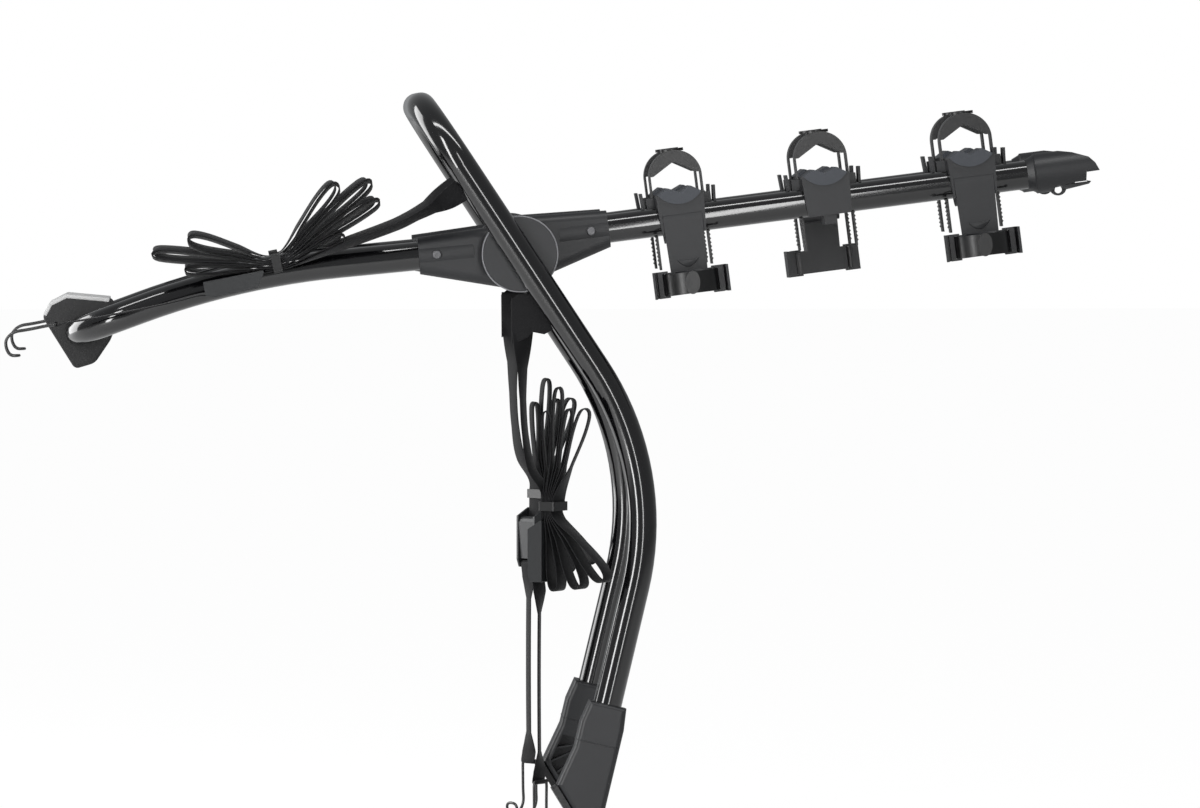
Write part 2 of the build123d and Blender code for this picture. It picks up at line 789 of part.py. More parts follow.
def ladder_strap(plane, spring, tail, tooth_top, wedge):
    """An arch of strap with two toothed tails; plane is in the middle of its width."""
    inner, outer = strap_half_gap, strap_half_gap + strap_thickness
    with BuildPart() as band:
        with BuildSketch(plane):
            with Locations((0, spring)):
                Circle(outer)
            with Locations((0, (spring - tail) / 2)):
                Rectangle(2 * outer, spring + tail)
            with Locations((0, spring)):
                if wedge:
                    Rectangle(2 * inner, 2 * strap_wedge_corner, mode=Mode.SUBTRACT)
                    Polygon(
                        (-strap_wedge_half, 0),
                        (-strap_wedge_half, strap_wedge_corner),
                        (0, strap_wedge_peak),
                        (strap_wedge_half, strap_wedge_corner),
                        (strap_wedge_half, 0),
                        align=None,
                        mode=Mode.SUBTRACT,
                    )
                else:
                    Circle(inner, mode=Mode.SUBTRACT)
            with Locations((0, (spring - tail) / 2)):
                Rectangle(2 * inner, spring + tail, mode=Mode.SUBTRACT)
            height = strap_tooth_pitch - tail
            while height < tooth_top:
                for hand in (1, -1):
                    Polygon(
                        (hand * (inner + outer) / 2, height),
                        (hand * outer, height),
                        (hand * (outer + strap_tooth), height + strap_tooth_pitch * tooth_rise_share),
                        (hand * outer, height + strap_tooth_pitch * tooth_fall_share),
                        (hand * (inner + outer) / 2, height + strap_tooth_pitch * tooth_fall_share),
                        align=None,
                    )
                height += strap_tooth_pitch
        extrude(amount=strap_width / 2, both=True)
        with BuildSketch(Plane(origin=plane.from_local_coords((0, spring + outer, 0)), z_dir=plane.y_dir)):
            Ellipse(crown_pad_length / 2, crown_pad_width / 2)
        extrude(amount=crown_pad_height, both=True)
    return band


leg_stations = {"near_1": 0, "near_3": 2, "far_2": 1}


def anti_sway_leg(plane):
    """A leg that hangs from a barrel round the arm and carries a strap bracket."""
    tube_plane = Plane(origin=plane.origin, z_dir=plane.x_dir)
    face_plane = plane.offset(leg_barrel_r)
    # The bracket frame has X along the arm and Y outwards, at the middle of the bracket's height
    bracket_middle = bracket_top - bracket_height / 2
    bracket_plane = Plane(
        origin=plane.from_local_coords((0, bracket_middle, -bracket_datum)), x_dir=plane.x_dir, z_dir=-plane.y_dir
    )
    blocks = ratchets(bracket_plane, bracket_near, bracket_far, cradle_foot_half_length, ratchet_post_height)
    slots = ratchet_slots(bracket_plane, bracket_near, bracket_far)
    with BuildPart() as leg:
        with BuildSketch(tube_plane):
            Circle(leg_barrel_r)
        extrude(amount=leg_barrel_half, both=True)
        with BuildSketch(face_plane):
            Polygon(
                (-leg_barrel_half, 0),
                (leg_barrel_half, 0),
                (leg_end_half, bracket_top),
                (leg_end_half, bracket_top - bracket_height),
                (-leg_end_half, bracket_top - bracket_height),
                (-leg_end_half, bracket_top),
                align=None,
            )
        extrude(amount=-leg_thickness)
        with BuildSketch(bracket_plane):
            bracket_mid = (bracket_near + bracket_far) / 2
            with Locations((0, bracket_mid)):
                Rectangle(2 * bracket_half, bracket_far - bracket_near)
        extrude(amount=bracket_height / 2, both=True)
        with BuildSketch(bracket_plane):
            with Locations((0, bracket_far + bracket_hollow_r - bracket_hollow_depth)):
                Circle(bracket_hollow_r)
        extrude(amount=bracket_height, both=True, mode=Mode.SUBTRACT)
        add(blocks.part)
        add(slots.part, mode=Mode.SUBTRACT)
        with BuildSketch(tube_plane):
            Circle(tube_r + leg_play)
        extrude(amount=leg_barrel_half, both=True, mode=Mode.SUBTRACT)
    return leg


def anti_sway_strap_plane(plane):
    return Plane(
        origin=plane.from_local_coords((0, bracket_top - bracket_height / 2, -bracket_datum)),
        x_dir=plane.x_dir,
        z_dir=-plane.y_dir,
    )


saddles = []
for name, mirrored in (("near", False), ("far", True)):
    for index in range(cradle_count):
        station = station_plane(index)
        key = f"{name}_{index + 1}"
        made = cradle(station, key in leg_stations)
        soft = saddle(station)
        band = ladder_strap(station.offset(strap_mid), strap_spring, strap_tail, ratchet_high, True)
        pieces = {f"cradle_{key}": made, f"cradle_strap_{key}": band}
        if key in leg_stations:
            pieces[f"sway_leg_{key}"] = anti_sway_leg(station)
            sway_plane = anti_sway_strap_plane(station)
            sway_tooth_top = bracket_far
            pieces[f"sway_strap_{key}"] = ladder_strap(
                sway_plane, bracket_strap_spring, bracket_strap_tail, sway_tooth_top, False
            )
        for piece_name, piece in pieces.items():
            save(far_side(piece) if mirrored else piece, piece_name)
        saddles.append(far_side(soft) if mirrored else soft)

with BuildPart() as saddle_pads:
    for soft in saddles:
        add(soft.part)
save(saddle_pads, "saddle_pads")

# Webbing straps with their buckles and hooks
turn = radians(lower_turn)
up_angle = radians(upper_buckle_angle)
upper_frame = Plane(
    origin=(upper_buckle_end[0], -strap_half_width, upper_buckle_end[1]),
    x_dir=(cos(up_angle), 0, sin(up_angle)),
    z_dir=(0, -1, 0),
)
lower_frame = Plane(
    origin=(lower_buckle_end[0], -lower_half_width, lower_buckle_end[1]),
    x_dir=(0, 0, 1),
    z_dir=Vector(0, 0, 1).cross(Vector(cos(turn), sin(turn), 0)),
)
channel = buckle_plate + channel_gap + web_thickness / 2
hank_rows = 8


def shifted(frame, along, up):
    return Plane(origin=frame.from_local_coords((along, up, 0)), x_dir=frame.x_dir, z_dir=frame.z_dir)


def local_xy(frame, xz):
    """The frame's coordinates of a point given in the side plane."""
    spot = frame.to_local_coords(Vector(xz[0], frame.origin.Y, xz[1]))
    return (spot.X, spot.Y)


def webbing(frame, points, radii):
    """A band of webbing along a path in the frame's plane, its width across the plane."""
    with BuildPart() as band:
        with BuildSketch(frame):
            with BuildLine() as path:
                FilletPolyline(*points, radius=radii)
            trace(line_width=web_thickness)
        extrude(amount=web_width / 2, both=True)
    return band


def least_gap(points, radii):
    """The least space between two passes of a band, measured on points along its middle line."""
    with BuildLine() as path:
        FilletPolyline(*points, radius=radii)
    line = path.wires()[0]
    count = int(line.length / gap_step)
    spots = [line.position_at(index / count) for index in range(count + 1)]
    flat = [(spot.X, spot.Y) for spot in spots]
    apart = int(gap_skip / gap_step)
    return min(dist(p, q) for index, p in enumerate(flat) for q in flat[index + apart:]) - web_thickness


def hank(frame, out_loops, back_loops):
    """The folded tail: one unbroken band laid to and fro through the tie, each turn a long loop."""
    points = [(buckle_length + tie_gap - hank_place, web_pitch)]
    radii = []
    for row in range(hank_rows - 1):
        hand = 1 if row % 2 == 0 else -1
        angle, reach = (out_loops if hand > 0 else back_loops)[row // 2]
        low, high = (row + 1) * web_pitch, (row + 2) * web_pitch
        edge = hand * tie_half_length * 2
        c, s = cos(radians(angle)), sin(radians(angle))
        points += [
            (edge, low),
            (edge + reach * c + web_loop_half * s * hand, low + reach * s - web_loop_half * c * hand),
            (edge + reach * c - web_loop_half * s * hand, high + reach * s + web_loop_half * c * hand),
            (edge, high),
        ]
        radii += [web_bend_r, web_loop_r, web_loop_r, web_bend_r]
    points.append((-tie_half_length, hank_rows * web_pitch))
    print(f"hank least gap to itself {least_gap(points, radii):.2f} mm")
    return webbing(shifted(frame, hank_place, 0), points, radii)


def tie(frame):
    """A band round the waist of the hank and the strap beside it."""
    stack = hank_rows * web_pitch
    inner = stack + web_thickness + 2 * tie_gap
    middle = shifted(frame, hank_place, stack / 2)
    with BuildPart() as band:
        with BuildSketch(Plane(origin=middle.origin, x_dir=middle.z_dir, z_dir=middle.x_dir)):
            RectangleRounded(
                web_width + 2 * tie_gap + 2 * tie_thickness, inner + 2 * tie_thickness, tie_thickness + tie_gap
            )
            Rectangle(web_width + 2 * tie_gap, inner, mode=Mode.SUBTRACT)
        extrude(amount=tie_half_length, both=True)
    return band


def buckle_frame(frame):
    """The buckle's own frame: X along the strap and Y from its plate toward the lever."""
    return Plane(origin=frame.from_local_coords((0, channel, 0)), x_dir=frame.x_dir, z_dir=-frame.z_dir)


def buckle(frame):
    """A plate with two cheeks, a bar for the lead and the lever's pin."""
    with BuildPart() as body:
        with BuildSketch(frame):
            Polygon(
                (0, 0),
                (buckle_length, 0),
                (buckle_length, buckle_plate),
                (buckle_pin_place + lever_r, buckle_height),
                (buckle_nose, buckle_height),
                (0, buckle_height - buckle_cheek),
                align=None,
            )
            fillet(vertices(), radius=buckle_edge)
        extrude(amount=buckle_width / 2, both=True)
        with BuildSketch(frame):
            with Locations((buckle_length / 2, buckle_plate + buckle_height)):
                Rectangle(2 * buckle_length, 2 * buckle_height)
        extrude(amount=buckle_width / 2 - buckle_cheek, both=True, mode=Mode.SUBTRACT)
        with BuildSketch(frame):
            with Locations((buckle_pin_place, buckle_pin_height)):
                Circle(buckle_pin_r)
            with Locations((buckle_bar_place, buckle_bar_height)):
                Circle(buckle_bar_r)
        extrude(amount=buckle_width / 2 - buckle_cheek / 2, both=True)
    return body


def lever(frame):
    """The cam lever that turns on the buckle's pin."""
    with BuildPart() as arm:
        with BuildSketch(frame):
            with Locations((buckle_pin_place, buckle_pin_height)):
                Circle(lever_r)
            Polygon(
                (buckle_pin_place, buckle_height - lever_gap),
                (buckle_pin_place - lever_length, buckle_height - lever_gap - lever_thickness / 2),
                (buckle_pin_place - lever_length, buckle_height - lever_gap - lever_thickness),
                (buckle_pin_place - lever_r, buckle_pin_height),
                (buckle_pin_place, buckle_pin_height),
                align=None,
            )
            with Locations((buckle_pin_place, buckle_pin_height)):
                Circle(buckle_pin_r + buckle_pin_play, mode=Mode.SUBTRACT)
        extrude(amount=buckle_width / 2 - buckle_cheek - lever_gap, both=True)
    return arm


def lead(frame, length):
    """The short webbing from the buckle's bar to the hook, with a sewn loop at each end."""
    ends = (buckle_bar_place, -length)
    radii = (buckle_bar_r, hook_wire_r)
    with BuildPart() as band:
        with BuildSketch(frame):
            with Locations(((ends[0] + ends[1]) / 2, buckle_bar_height)):
                Rectangle(ends[0] - ends[1], web_thickness)
            for end, r in zip(ends, radii):
                with Locations((end, buckle_bar_height)):
                    Circle(r + lead_play + web_thickness)
            for end, r in zip(ends, radii):
                with Locations((end, buckle_bar_height)):
                    Circle(r + lead_play, mode=Mode.SUBTRACT)
        extrude(amount=web_width / 2, both=True)
        eye_plane = shifted(frame, -length, buckle_bar_height)
        with BuildSketch(eye_plane):
            Rectangle(4 * hook_bend_r, 4 * hook_bend_r)
        side_cut = extrude(amount=web_width, both=True, mode=Mode.PRIVATE)
        with BuildSketch(eye_plane):
            Rectangle(4 * hook_bend_r, 4 * hook_bend_r)
        middle = extrude(amount=hook_half_width - hook_bend_r, both=True, mode=Mode.PRIVATE)
        add(side_cut - middle, mode=Mode.SUBTRACT)
    return band


def hook(frame, length):
    """One closed loop of wire: an eye bar, two sides and a turned-over tip."""
    seat = shifted(frame, -length, buckle_bar_height)
    one = [seat.from_local_coords((x, y, hook_half_width)) for x, y in hook_profile]
    other = [seat.from_local_coords((x, y, -hook_half_width)) for x, y in reversed(hook_profile)]
    with BuildPart() as wire:
        with BuildLine() as path:
            FilletPolyline(*one, *other, radius=hook_bend_r, close=True)
        start = path.edges().sort_by_distance(seat.origin)[0]
        with BuildSketch(Plane(origin=start @ 0, z_dir=start % 0)):
            Circle(hook_wire_r)
        sweep()
    return wire


def anchor_tab(spot, end, leg_y):
    """The flat end of a strap, held against the inner side of a hoop leg."""
    with BuildPart() as tab:
        with BuildSketch(Plane.XZ.offset(leg_y - web_thickness)):
            with BuildLine():
                Line(spot, (end[0] + tab_overlap * (end[0] - spot[0]), end[1] + tab_overlap * (end[1] - spot[1])))
            trace(line_width=web_width)
        extrude(amount=web_thickness)
    return tab


def joined(*pieces):
    with BuildPart() as whole:
        for piece in pieces:
            add(piece.part)
    return whole


def rivet(spot, leg_y):
    with BuildPart() as head:
        with BuildSketch(Plane.XZ.offset(leg_y - web_thickness)):
            with Locations(spot):
                Circle(rivet_r)
        extrude(amount=-rivet_height)
    return head


upper_via = local_xy(upper_frame, upper_strap_via)
upper_end = local_xy(upper_frame, upper_strap_end)
strap_start = [(buckle_pin_place - 2 * lever_r, 0), (hank_place + web_width / 2, 0)]
upper_leg_y = hoop_half_at(upper_anchor[1] + web_width / 2) - tube_r - tab_gap
lower_leg_y = hoop_half_at(lower_anchor[1] + web_width / 2) - tube_r - tab_gap
lower_top = lower_frame.from_local_coords(lower_strap_drop)

upper_run = webbing(upper_frame, strap_start + [upper_via, upper_end], web_bend_r)
lower_run = webbing(lower_frame, strap_start + [lower_strap_via, lower_strap_drop], web_bend_r)
upper_strap = joined(upper_run, anchor_tab(upper_anchor, upper_strap_end, upper_leg_y))
lower_strap = joined(lower_run, anchor_tab(lower_anchor, (lower_top.X, lower_top.Z), lower_leg_y))
save(pair(upper_strap), "upper_straps")
save(pair(lower_strap), "lower_straps")
rivets = joined(rivet(upper_anchor, upper_leg_y), rivet(lower_anchor, lower_leg_y))
save(pair(rivets), "strap_rivets")

sets = (
    ("upper", upper_frame, upper_out_loops, upper_back_loops, upper_lead_length),
    ("lower", lower_frame, lower_out_loops, lower_back_loops, lower_lead_length),
)
for level, frame, out_loops, back_loops, length in sets:
    bundle = hank(frame, out_loops, back_loops)
    own = buckle_frame(frame)
    for kind, piece in (("hank", bundle), ("buckle", buckle(own)), ("lever", lever(own))):
        save(piece, f"{level}_{kind}_near")
        save(far_side(piece), f"{level}_{kind}_far")
    save(pair(tie(frame)), f"{level}_ties")
    save(pair(lead(own, length)), f"{level}_leads")
    save(pair(hook(own, length)), f"{level}_hooks")
    print(f"{level} hank band length {bundle.part.volume / web_width / web_thickness:.0f} mm")
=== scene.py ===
# %% [markdown]
# # A bike rack that straps to a trunk lid
# The rack is three bent steel frames that turn about one axle. The solids come from the CAD model, already in
# their places, so this lesson spends its effort on finishes, on the woven webbing and on the soft and moulded
# pieces that CAD draws too plainly. First the frame is loaded and its box is kept; its lowest point sets the
# floor.

import json
from math import atan, cos, pi, radians, sin

import bmesh
import bpy
from mathutils import Matrix, Vector
from mathutils.geometry import interpolate_bezier


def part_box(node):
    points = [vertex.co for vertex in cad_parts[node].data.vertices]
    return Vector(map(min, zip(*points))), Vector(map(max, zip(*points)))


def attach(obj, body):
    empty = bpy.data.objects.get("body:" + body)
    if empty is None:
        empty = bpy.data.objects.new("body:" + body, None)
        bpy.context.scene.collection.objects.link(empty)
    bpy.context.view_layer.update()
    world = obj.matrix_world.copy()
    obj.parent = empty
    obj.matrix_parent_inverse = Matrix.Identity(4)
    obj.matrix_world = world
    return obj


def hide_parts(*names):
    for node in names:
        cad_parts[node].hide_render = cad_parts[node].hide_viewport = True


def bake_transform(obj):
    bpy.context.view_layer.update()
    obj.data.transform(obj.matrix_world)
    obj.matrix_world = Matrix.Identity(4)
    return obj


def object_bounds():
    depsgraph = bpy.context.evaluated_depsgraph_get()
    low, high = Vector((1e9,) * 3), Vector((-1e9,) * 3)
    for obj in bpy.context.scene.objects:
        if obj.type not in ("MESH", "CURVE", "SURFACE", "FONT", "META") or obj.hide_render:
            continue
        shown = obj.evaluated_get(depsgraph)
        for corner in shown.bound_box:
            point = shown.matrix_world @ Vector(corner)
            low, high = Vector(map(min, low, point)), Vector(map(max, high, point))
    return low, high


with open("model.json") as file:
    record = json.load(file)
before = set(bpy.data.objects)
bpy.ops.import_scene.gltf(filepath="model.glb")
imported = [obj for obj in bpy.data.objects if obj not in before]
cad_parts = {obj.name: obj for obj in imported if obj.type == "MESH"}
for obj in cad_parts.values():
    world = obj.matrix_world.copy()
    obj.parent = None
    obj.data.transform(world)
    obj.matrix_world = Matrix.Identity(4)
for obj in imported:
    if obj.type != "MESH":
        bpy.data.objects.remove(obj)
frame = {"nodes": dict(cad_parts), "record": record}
cad_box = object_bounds()
nodes = frame["nodes"]
bpy.ops.object.select_all(action="DESELECT")
print("solids:", len(nodes), "box:", [tuple(round(v, 3) for v in corner) for corner in cad_box])

# %% [markdown]
# ## The camera
# The picture is almost a plain side view, taken from far away with a long lens: the far side of the rack shows
# a little up and to the left of the near side. A real camera ten metres off gives that. The hub's disc sets the
# place: it must fall left of the middle and high up, so the camera is moved sideways and not shifted.

# %% Camera from the hub's place in the picture
picture_width, picture_height = 1200, 808
focal_px = 9000
mm_per_px = 1.107
aim_right_px, aim_down_px = 400, 274
hub_px = (520, 254)
turn_right, look_down = atan(aim_right_px / focal_px), atan(aim_down_px / focal_px)
forward = Vector((sin(turn_right) * cos(look_down), cos(turn_right) * cos(look_down), -sin(look_down)))
right = Vector((cos(turn_right), -sin(turn_right), 0))
up = right.cross(forward)
hub_in_picture = ((hub_px[0] - picture_width / 2) / focal_px, (picture_height / 2 - hub_px[1]) / focal_px)
distance = focal_px * mm_per_px / 1000
hub_face = Vector((0, -0.165, 0))
eye = hub_face - distance * (forward + hub_in_picture[0] * right + hub_in_picture[1] * up)
bpy.ops.object.camera_add(location=eye, rotation=forward.to_track_quat("-Z", "Y").to_euler())
camera = bpy.context.object
camera.name = "camera"
sensor_width = 36
camera.data.sensor_width = sensor_width
camera.data.lens = sensor_width * focal_px / picture_width
camera.data.clip_end = 60
bpy.context.scene.camera = camera
print("camera at", tuple(round(v, 2) for v in eye), "lens", camera.data.lens)

# %% [markdown]
# ## White studio
# Catalogue pictures have a pure white ground. The floor glows as bright as paper, and the world is white too, so
# the two meet without a line. Black gloss paint only shows by what it mirrors, so a few long, narrow soft boxes
# stand round the rack: each one draws a white streak along every tube that turns towards it.

# %% World, floor and soft boxes
scene = bpy.context.scene
scene.view_settings.view_transform = "Standard"
world = bpy.data.worlds.new("studio")
scene.world = world
world.use_nodes = True
tree = world.node_tree
tree.nodes.clear()
seen = tree.nodes.new("ShaderNodeLightPath")
shown = tree.nodes.new("ShaderNodeBackground")
shown.inputs["Color"].default_value = (1, 1, 1, 1)
shown.inputs["Strength"].default_value = 1.0
soft_light = tree.nodes.new("ShaderNodeBackground")
soft_light.inputs["Color"].default_value = (0.96, 0.98, 1, 1)
soft_light.inputs["Strength"].default_value = 0.30
mix = tree.nodes.new("ShaderNodeMixShader")
out = tree.nodes.new("ShaderNodeOutputWorld")
tree.links.new(seen.outputs["Is Camera Ray"], mix.inputs[0])
tree.links.new(soft_light.outputs[0], mix.inputs[1])
tree.links.new(shown.outputs[0], mix.inputs[2])
tree.links.new(mix.outputs[0], out.inputs[0])


def stage_finish(name, level):
    """A matt white ground that shows to the camera as almost pure white."""
    ground = bpy.data.materials.new(name)
    ground.use_nodes = True
    n, l = ground.node_tree.nodes, ground.node_tree.links
    n.clear()
    path = n.new("ShaderNodeLightPath")
    either = n.new("ShaderNodeMath")
    either.operation = "MAXIMUM"
    share = n.new("ShaderNodeMath")
    share.operation = "MULTIPLY"
    share.inputs[1].default_value = level
    matt = n.new("ShaderNodeBsdfDiffuse")
    matt.inputs["Color"].default_value = (0.86, 0.86, 0.86, 1)
    glow = n.new("ShaderNodeEmission")
    glow.inputs["Strength"].default_value = 1.02
    blend = n.new("ShaderNodeMixShader")
    end = n.new("ShaderNodeOutputMaterial")
    l.new(path.outputs["Is Camera Ray"], either.inputs[0])
    l.new(path.outputs["Is Transmission Ray"], either.inputs[1])
    l.new(either.outputs[0], share.inputs[0])
    l.new(share.outputs[0], blend.inputs[0])
    l.new(matt.outputs[0], blend.inputs[1])
    l.new(glow.outputs[0], blend.inputs[2])
    l.new(blend.outputs[0], end.inputs[0])
    return ground


bpy.ops.mesh.primitive_plane_add(size=60, location=(0, 0, cad_box[0][2]))
floor = bpy.context.object
floor.name = "floor"
floor.data.materials.append(stage_finish("floor_white", 0.95))


def soft_box(name, place, aim, size, watts):
    """A rectangular studio lamp that faces the aim."""
    bpy.ops.object.light_add(type="AREA", location=place)
    lamp = bpy.context.object
    lamp.name = name
    lamp.data.shape = "RECTANGLE"
    lamp.data.size, lamp.data.size_y = size
    lamp.data.energy = watts
    lamp.rotation_euler = (Vector(aim) - Vector(place)).to_track_quat("-Z", "Y").to_euler()
    return lamp


soft_box("top_strip", (0.1, -0.9, 2.2), (0.05, 0, 0), (3.4, 0.26), 34)
soft_box("left_strip", (-1.5, -1.9, 0.35), (0.05, 0, -0.1), (0.42, 2.2), 42)
soft_box("middle_strip", (0.35, -2.7, 0.1), (0.05, 0, -0.1), (0.22, 2.6), 20)
soft_box("left_wall", (-2.3, 1.1, 0.3), (0.0, 0, -0.1), (1.3, 2.4), 44)

# %% [markdown]
# ## Finishes
# Every finish is one Principled shader. Fine texture comes from two shared groups: one gives the faint orange
# peel of powder coat or moulded plastic, the other the ribs of woven webbing. The first reads Object
# coordinates, so it lies still on the solids; the second reads the webbing's own UV map, so it follows the band.

# %% Shared texture groups
def grain_group():
    """A height between 0 and 1: fine grain over slow waves, at a scale set from outside."""
    group = bpy.data.node_groups.new("fine_grain", "ShaderNodeTree")
    group.interface.new_socket("Scale", in_out="INPUT", socket_type="NodeSocketFloat")
    group.interface.new_socket("Height", in_out="OUTPUT", socket_type="NodeSocketFloat")
    n, l = group.nodes, group.links
    entry, exit_ = n.new("NodeGroupInput"), n.new("NodeGroupOutput")
    place = n.new("ShaderNodeTexCoord")
    fine = n.new("ShaderNodeTexNoise")
    fine.inputs["Detail"].default_value = 3
    slow = n.new("ShaderNodeTexNoise")
    slow.inputs["Scale"].default_value = 14
    both = n.new("ShaderNodeMath")
    both.operation = "MULTIPLY_ADD"
    both.inputs[1].default_value = 0.25
    l.new(place.outputs["Object"], fine.inputs["Vector"])
    l.new(place.outputs["Object"], slow.inputs["Vector"])
    l.new(entry.outputs["Scale"], fine.inputs["Scale"])
    l.new(slow.outputs["Fac"], both.inputs[0])
    l.new(fine.outputs["Fac"], both.inputs[2])
    l.new(both.outputs[0], exit_.inputs["Height"])
    return group


def weave_group():
    """Ribs across the band and two slow stripes along it, from the band's UV map (V in metres); Shade repeats
    the height so that the colour paints shade into the grooves.
    """
    group = bpy.data.node_groups.new("webbing_weave", "ShaderNodeTree")
    group.interface.new_socket("Height", in_out="OUTPUT", socket_type="NodeSocketFloat")
    group.interface.new_socket("Shade", in_out="OUTPUT", socket_type="NodeSocketFloat")
    n, l = group.nodes, group.links
    exit_ = n.new("NodeGroupOutput")
    uv = n.new("ShaderNodeUVMap")
    uv.uv_map = "weave"
    split = n.new("ShaderNodeSeparateXYZ")
    l.new(uv.outputs[0], split.inputs[0])
    waves = []
    for axis, pitch in (("Y", 0.0016), ("X", 0.125)):
        scale = n.new("ShaderNodeMath")
        scale.operation = "MULTIPLY"
        scale.inputs[1].default_value = 2 * pi / pitch
        wave = n.new("ShaderNodeMath")
        wave.operation = "SINE"
        l.new(split.outputs[axis], scale.inputs[0])
        l.new(scale.outputs[0], wave.inputs[0])
        waves.append(wave)
    cross = n.new("ShaderNodeMath")
    cross.operation = "MULTIPLY"
    l.new(waves[0].outputs[0], cross.inputs[0])
    l.new(waves[1].outputs[0], cross.inputs[1])
    lift = n.new("ShaderNodeMath")
    lift.operation = "MULTIPLY_ADD"
    lift.inputs[1].default_value = 0.5
    lift.inputs[2].default_value = 0.5
    l.new(cross.outputs[0], lift.inputs[0])
    l.new(lift.outputs[0], exit_.inputs["Height"])
    # The same height goes out as Shade: painted shade, darker in the grooves and lighter on the crests.
    l.new(lift.outputs[0], exit_.inputs["Shade"])
    return group


grain, weave = grain_group(), weave_group()


def finish(name, colour, rough, metal=0.0, coat=0.0, grain_scale=600, grain_depth=0.00004, spread=0.06):
    """A solid finish with fine grain in its surface and slightly uneven gloss."""
    made = bpy.data.materials.new(name)
    made.use_nodes = True
    n, l = made.node_tree.nodes, made.node_tree.links
    shader = n["Principled BSDF"]
    shader.inputs["Base Color"].default_value = (*colour, 1)
    shader.inputs["Metallic"].default_value = metal
    shader.inputs["Coat Weight"].default_value = coat
    shader.inputs["Coat Roughness"].default_value = 0.06
    texture = n.new("ShaderNodeGroup")
    texture.node_tree = grain
    texture.inputs["Scale"].default_value = grain_scale
    gloss = n.new("ShaderNodeMapRange")
    gloss.inputs["To Min"].default_value = max(0.02, rough - spread)
    gloss.inputs["To Max"].default_value = rough + spread
    bump = n.new("ShaderNodeBump")
    bump.inputs["Distance"].default_value = grain_depth
    bump.inputs["Strength"].default_value = 1.0
    l.new(texture.outputs["Height"], gloss.inputs["Value"])
    l.new(gloss.outputs[0], shader.inputs["Roughness"])
    l.new(texture.outputs["Height"], bump.inputs["Height"])
    l.new(bump.outputs[0], shader.inputs["Normal"])
    return made


def woven_finish(name, dark, light):
    """Polyester webbing: ribs across the band with painted shade in their grooves, a soft sheen and no gloss."""
    made = bpy.data.materials.new(name)
    made.use_nodes = True
    n, l = made.node_tree.nodes, made.node_tree.links
    shader = n["Principled BSDF"]
    shader.inputs["Roughness"].default_value = 0.62
    shader.inputs["Sheen Weight"].default_value = 0.08
    shader.inputs["Specular IOR Level"].default_value = 0.18
    shader.inputs["Sheen Roughness"].default_value = 0.4
    texture = n.new("ShaderNodeGroup")
    texture.node_tree = weave
    rib_shade_paint = n.new("ShaderNodeMix")
    rib_shade_paint.data_type = "RGBA"
    rib_shade_paint.inputs["A"].default_value = (*dark, 1)
    rib_shade_paint.inputs["B"].default_value = (*light, 1)
    bump = n.new("ShaderNodeBump")
    bump.inputs["Distance"].default_value = 0.00022
    # The colour follows the rib height: painted shade in the grooves and painted light on the crests.
    l.new(texture.outputs["Shade"], rib_shade_paint.inputs["Factor"])
    l.new(rib_shade_paint.outputs["Result"], shader.inputs["Base Color"])
    l.new(texture.outputs["Height"], bump.inputs["Height"])
    l.new(bump.outputs[0], shader.inputs["Normal"])
    return made


finishes = {
    "black_tube": finish(
        "gloss_black_powder_coat", (0.002, 0.002, 0.0024), 0.13,
        coat=0.6, grain_scale=240, grain_depth=0.000004, spread=0.02,
    ),
    "hub_plastic": finish("moulded_grey_plastic", (0.0085, 0.009, 0.0105), 0.42, grain_scale=900),
    "soft_insert": finish("soft_blue_grey_insert", (0.030, 0.034, 0.042), 0.46, grain_scale=700),
    "strap_rubber": finish("black_strap_rubber", (0.003, 0.003, 0.0033), 0.34, grain_scale=500),
    "black_foam": finish(
        "skinned_black_foam", (0.006, 0.006, 0.0065), 0.70, grain_scale=420, grain_depth=0.0002,
    ),
    "webbing": woven_finish("black_polyester_webbing", (0.0025, 0.0025, 0.003), (0.009, 0.009, 0.010)),
    "buckle_metal": finish("dark_satin_buckle", (0.016, 0.017, 0.018), 0.36, metal=0.2, grain_scale=800),
    "hook_wire": finish("dipped_black_wire", (0.012, 0.012, 0.012), 0.28, coat=0.3, grain_scale=300),
    "bright_steel": finish("bright_steel", (0.12, 0.12, 0.125), 0.36, metal=1.0, grain_scale=1100, spread=0.1),
    # Light grey that paints the highlight along the hub discs' rims.
    "rim_highlight_paint": finish("painted_rim_highlight", (0.16, 0.16, 0.17), 0.35, grain_scale=900),
    # Pale grey that paints the highlight on the pads' top rims.
    "pad_top_highlight_paint": finish("painted_highlight_on_pad_tops", (0.42, 0.42, 0.42), 0.5, grain_scale=500, grain_depth=0.0001),
}
slot_of = {s["node"]: s["material_slot"] for s in frame["record"]["subparts"]}
for name, solid in nodes.items():
    solid.data.materials.clear()
    solid.data.materials.append(finishes[slot_of[name]])
print("finishes:", len(finishes))

# %% [markdown]
# ## Webbing
# The straps are 25 mm woven band, 1.3 mm thick. CAD draws them as flat strips in one plane; real webbing turns
# about its own length, because its end lies flat on the tube while the rest hangs edge-on. A curve with a bevel
# can't turn like that in a controlled way, so each band is a strip of cross sections along a smooth path, and
# every section has its own direction across. Its UV map runs in metres, so the weave has one size on all bands.

# %% Helpers for bands
web_width, web_thick = 0.025, 0.0013
rounded_section = [
    (-0.5, -0.2), (-0.5, 0.2), (-0.47, 0.5), (0, 0.5), (0.47, 0.5),
    (0.5, 0.2), (0.5, -0.2), (0.47, -0.5), (0, -0.5), (-0.47, -0.5),
]


